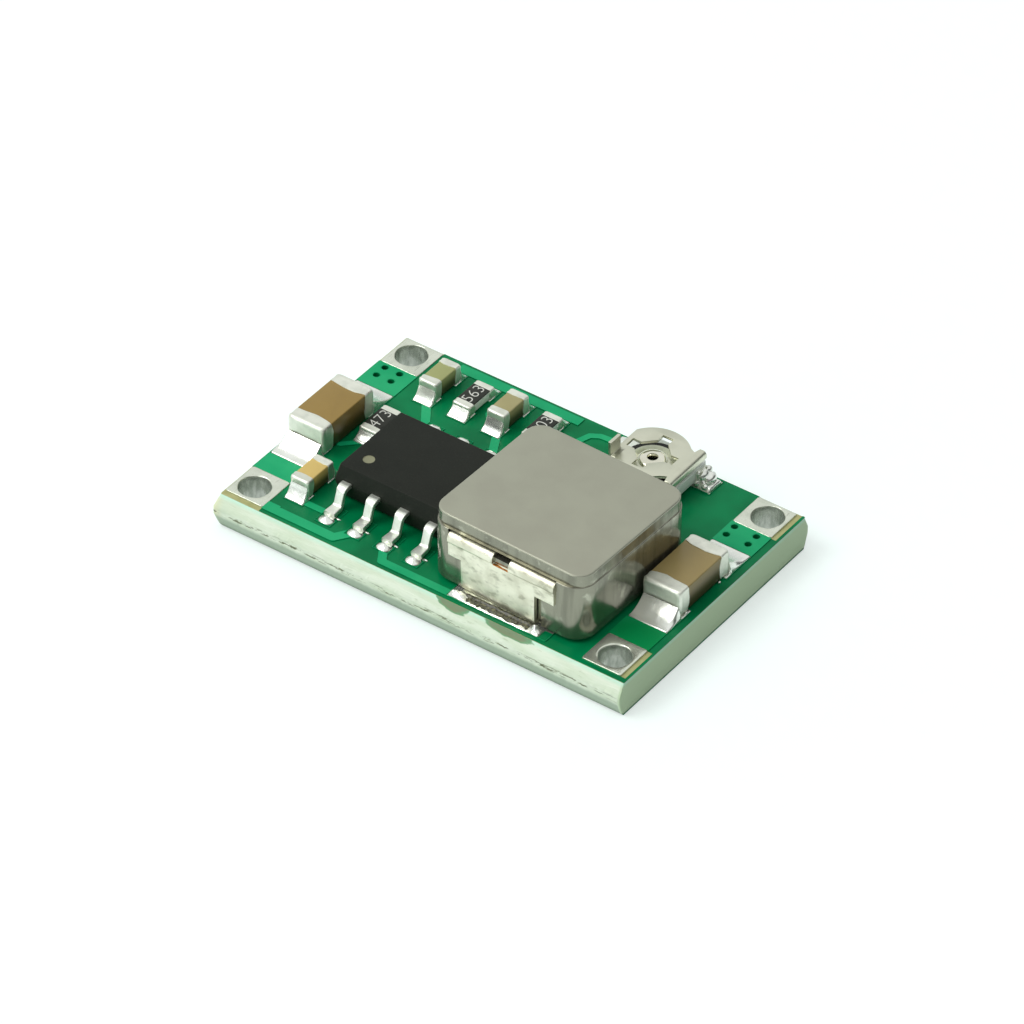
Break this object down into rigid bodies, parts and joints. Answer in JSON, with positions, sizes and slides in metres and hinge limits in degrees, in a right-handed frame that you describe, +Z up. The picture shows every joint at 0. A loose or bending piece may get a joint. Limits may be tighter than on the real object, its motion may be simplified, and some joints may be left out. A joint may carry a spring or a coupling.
{
  "type": "buck converter module",
  "caption": "Small step-down converter board with a moulded inductor, a switching regulator, ceramic capacitors, chip resistors and a turnable trimmer.",
  "frame": {"origin": "middle of the overall outline, at the underside of the board", "axes": "+X along the long edge towards the output end, +Y across the board from the inductor's edge to the trimmer's edge, +Z up out of the component side"},
  "size_m": [0.0176, 0.0116, 0.0044],
  "materials": {
    "laminate": "sawn glass-epoxy laminate",
    "copper": "copper foil",
    "solder_mask": "glossy green solder mask",
    "tinned_metal": "bright tin plate",
    "solder": "reflowed tin solder",
    "moulded_epoxy": "moulded epoxy",
    "moulded_powder": "pressed metal powder, satin",
    "tinned_copper": "tinned copper strip",
    "ceramic_brown": "unglazed dielectric",
    "ceramic_golden": "unglazed dielectric",
    "ceramic_olive": "unglazed dielectric",
    "ceramic_tan": "unglazed dielectric",
    "plated_ends": "matt tin over nickel",
    "ceramic_white": "alumina",
    "resistor_glass": "black overglaze",
    "resistive_film": "cermet film",
    "spring_metal": "plated spring strip"
  },
  "bodies": {
    "board": {"laminate": "laminate", "top_copper": "copper", "top_mask": "solder_mask", "bottom_copper": "copper", "bottom_mask": "solder_mask", "vias": "tinned_metal", "corner_in_pos": "tinned_metal", "corner_in_neg": "tinned_metal", "corner_out_pos": "tinned_metal", "corner_out_neg": "tinned_metal", "ic_body": "moulded_epoxy", "ic_leads": "tinned_metal", "ic_solder": "solder", "inductor_core": "moulded_powder", "inductor_clip_front": "tinned_copper", "inductor_clip_back": "tinned_copper", "inductor_solder": "solder", "cin_body": "ceramic_brown", "cin_ends": "plated_ends", "cin_solder": "solder", "cout_body": "ceramic_brown", "cout_ends": "plated_ends", "cout_solder": "solder", "cboot_body": "ceramic_golden", "cboot_ends": "plated_ends", "cboot_solder": "solder", "ccomp_body": "ceramic_olive", "ccomp_ends": "plated_ends", "ccomp_solder": "solder", "cfilt_body": "ceramic_tan", "cfilt_ends": "plated_ends", "cfilt_solder": "solder", "ren_body": "ceramic_white", "ren_glaze": "resistor_glass", "ren_ends": "plated_ends", "ren_solder": "solder", "rcomp_body": "ceramic_white", "rcomp_glaze": "resistor_glass", "rcomp_ends": "plated_ends", "rcomp_solder": "solder", "rfb_body": "ceramic_white", "rfb_glaze": "resistor_glass", "rfb_ends": "plated_ends", "rfb_solder": "solder", "trim_base": "ceramic_white", "trim_track": "resistive_film", "trim_end_terminals": "tinned_metal", "trim_wiper_terminal": "tinned_metal", "trim_eyelet": "tinned_metal", "trim_solder": "solder"},
    "rotor": {"trim_rotor": "spring_metal"}
  },
  "joints": [
    {"name": "trimmer_turn", "type": "hinge", "parent": "board", "child": "rotor", "pos_m": [0.00324, 0.00413, 0.0024], "axis": [0, 0, 1], "range_deg": [-30, 210]}
  ]
}
